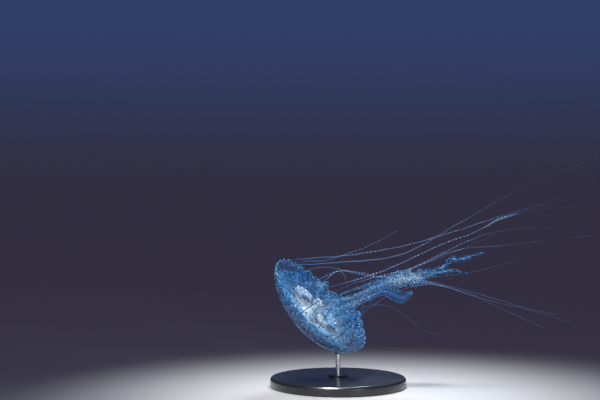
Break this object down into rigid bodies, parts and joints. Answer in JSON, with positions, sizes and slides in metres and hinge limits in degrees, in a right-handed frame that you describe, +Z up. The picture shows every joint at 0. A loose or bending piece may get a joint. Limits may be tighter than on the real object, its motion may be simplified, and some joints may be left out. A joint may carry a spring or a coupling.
{
  "type": "jellyfish",
  "caption": "Still, life-size model of a small jellyfish swimming tilted, with a clear shallow bell, frilled oral arms and long trailing tentacles, on a rod and round display base.",
  "frame": {"origin": "centre of the display base's underside, straight below the rod", "axes": "+Z up from the base; +X towards the tips of the tentacles, the way the arms and tentacles trail; -Y towards the side that the picture shows, where the bell's mouth turns"},
  "size_m": [0.3101, 0.116, 0.2093],
  "materials": {
    "jelly": "wet and glossy, clear jelly over a milky blue underside",
    "fringe": "wet and glossy, blue scalloped fringe",
    "gonad": "soft, milky white, finely folded",
    "oral_arm": "wet, frilled, pale blue with white edges",
    "tentacle": "wet, beaded pale blue strand",
    "base_wood": "satin black lacquer",
    "rod_steel": "satin"
  },
  "bodies": {
    "root": {"arm_1_far": "oral_arm", "arm_1_near": "oral_arm", "arm_2_far": "oral_arm", "arm_2_near": "oral_arm", "arm_3_far": "oral_arm", "arm_3_near": "oral_arm", "arm_4_far": "oral_arm", "arm_4_near": "oral_arm", "bell": "jelly", "gonad_1": "gonad", "gonad_2": "gonad", "gonad_3": "gonad", "gonad_4": "gonad", "lappets_1": "fringe", "lappets_2": "fringe", "lappets_3": "fringe", "lappets_4": "fringe", "lappets_5": "fringe", "lappets_6": "fringe", "lappets_7": "fringe", "lappets_8": "fringe", "manubrium": "jelly", "stand_base": "base_wood", "stand_pad": "rod_steel", "stand_rod": "rod_steel", "tentacle_10_far": "tentacle", "tentacle_10_near": "tentacle", "tentacle_11_far": "tentacle", "tentacle_11_near": "tentacle", "tentacle_12_far": "tentacle", "tentacle_12_near": "tentacle", "tentacle_13_far": "tentacle", "tentacle_13_near": "tentacle", "tentacle_14_far": "tentacle", "tentacle_14_near": "tentacle", "tentacle_15_far": "tentacle", "tentacle_15_near": "tentacle", "tentacle_16_far": "tentacle", "tentacle_16_near": "tentacle", "tentacle_1_far": "tentacle", "tentacle_1_near": "tentacle", "tentacle_2_far": "tentacle", "tentacle_2_near": "tentacle", "tentacle_3_far": "tentacle", "tentacle_3_near": "tentacle", "tentacle_4_far": "tentacle", "tentacle_4_near": "tentacle", "tentacle_5_far": "tentacle", "tentacle_5_near": "tentacle", "tentacle_6_far": "tentacle", "tentacle_6_near": "tentacle", "tentacle_7_far": "tentacle", "tentacle_7_near": "tentacle", "tentacle_8_far": "tentacle", "tentacle_8_near": "tentacle", "tentacle_9_far": "tentacle", "tentacle_9_near": "tentacle"}
  },
  "joints": []
}
